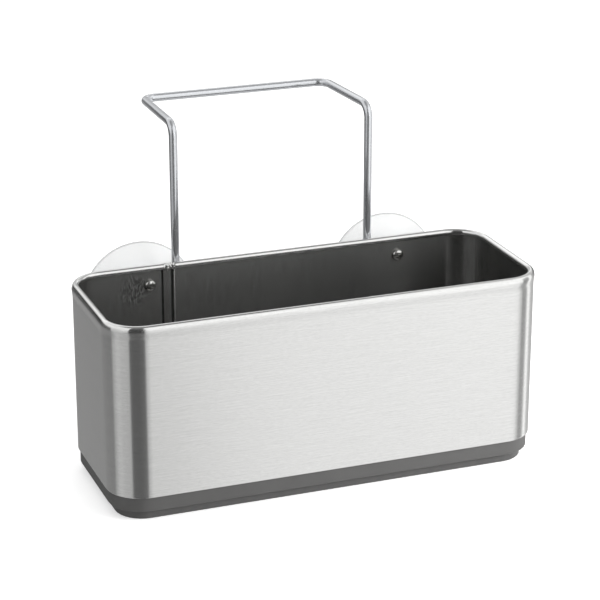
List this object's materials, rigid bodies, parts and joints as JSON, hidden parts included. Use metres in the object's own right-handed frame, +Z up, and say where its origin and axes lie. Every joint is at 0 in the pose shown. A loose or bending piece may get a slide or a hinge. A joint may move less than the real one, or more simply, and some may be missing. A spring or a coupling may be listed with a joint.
{
  "type": "sink caddy",
  "caption": "Brushed steel sink caddy tub on a dark plastic drainage base, with suction cups and a wire hanger that slides up behind it.",
  "frame": {"origin": "centre of the base's underside, on the surface that the caddy stands on", "axes": "+X along the tub's length to the viewer's right, +Y from the front to the suction cups, +Z up"},
  "size_m": [0.2658, 0.1768, 0.2035],
  "materials": {
    "brushed_steel": "fine horizontal brushing, satin",
    "grey_plastic": "fine matte grain",
    "satin_chrome": "satin",
    "bright_steel": "smooth",
    "black_rubber": "matte",
    "clear_soft_plastic": "clear, smooth"
  },
  "bodies": {
    "tub": {"tub_sleeve": "brushed_steel", "base_tray": "grey_plastic", "bracket_left": "grey_plastic", "bracket_right": "grey_plastic", "suction_cup_left": "clear_soft_plastic", "suction_cup_right": "clear_soft_plastic", "screw_left_upper": "bright_steel", "screw_left_lower": "bright_steel", "screw_right_upper": "bright_steel", "screw_right_lower": "bright_steel"},
    "hanger": {"hanger_wire": "satin_chrome", "hanger_cap_left": "black_rubber", "hanger_cap_right": "black_rubber"}
  },
  "joints": [
    {"name": "hanger_slide", "type": "slide", "parent": "tub", "child": "hanger", "axis": [0, 0, 1], "range_m": [-0.058, 0]}
  ]
}
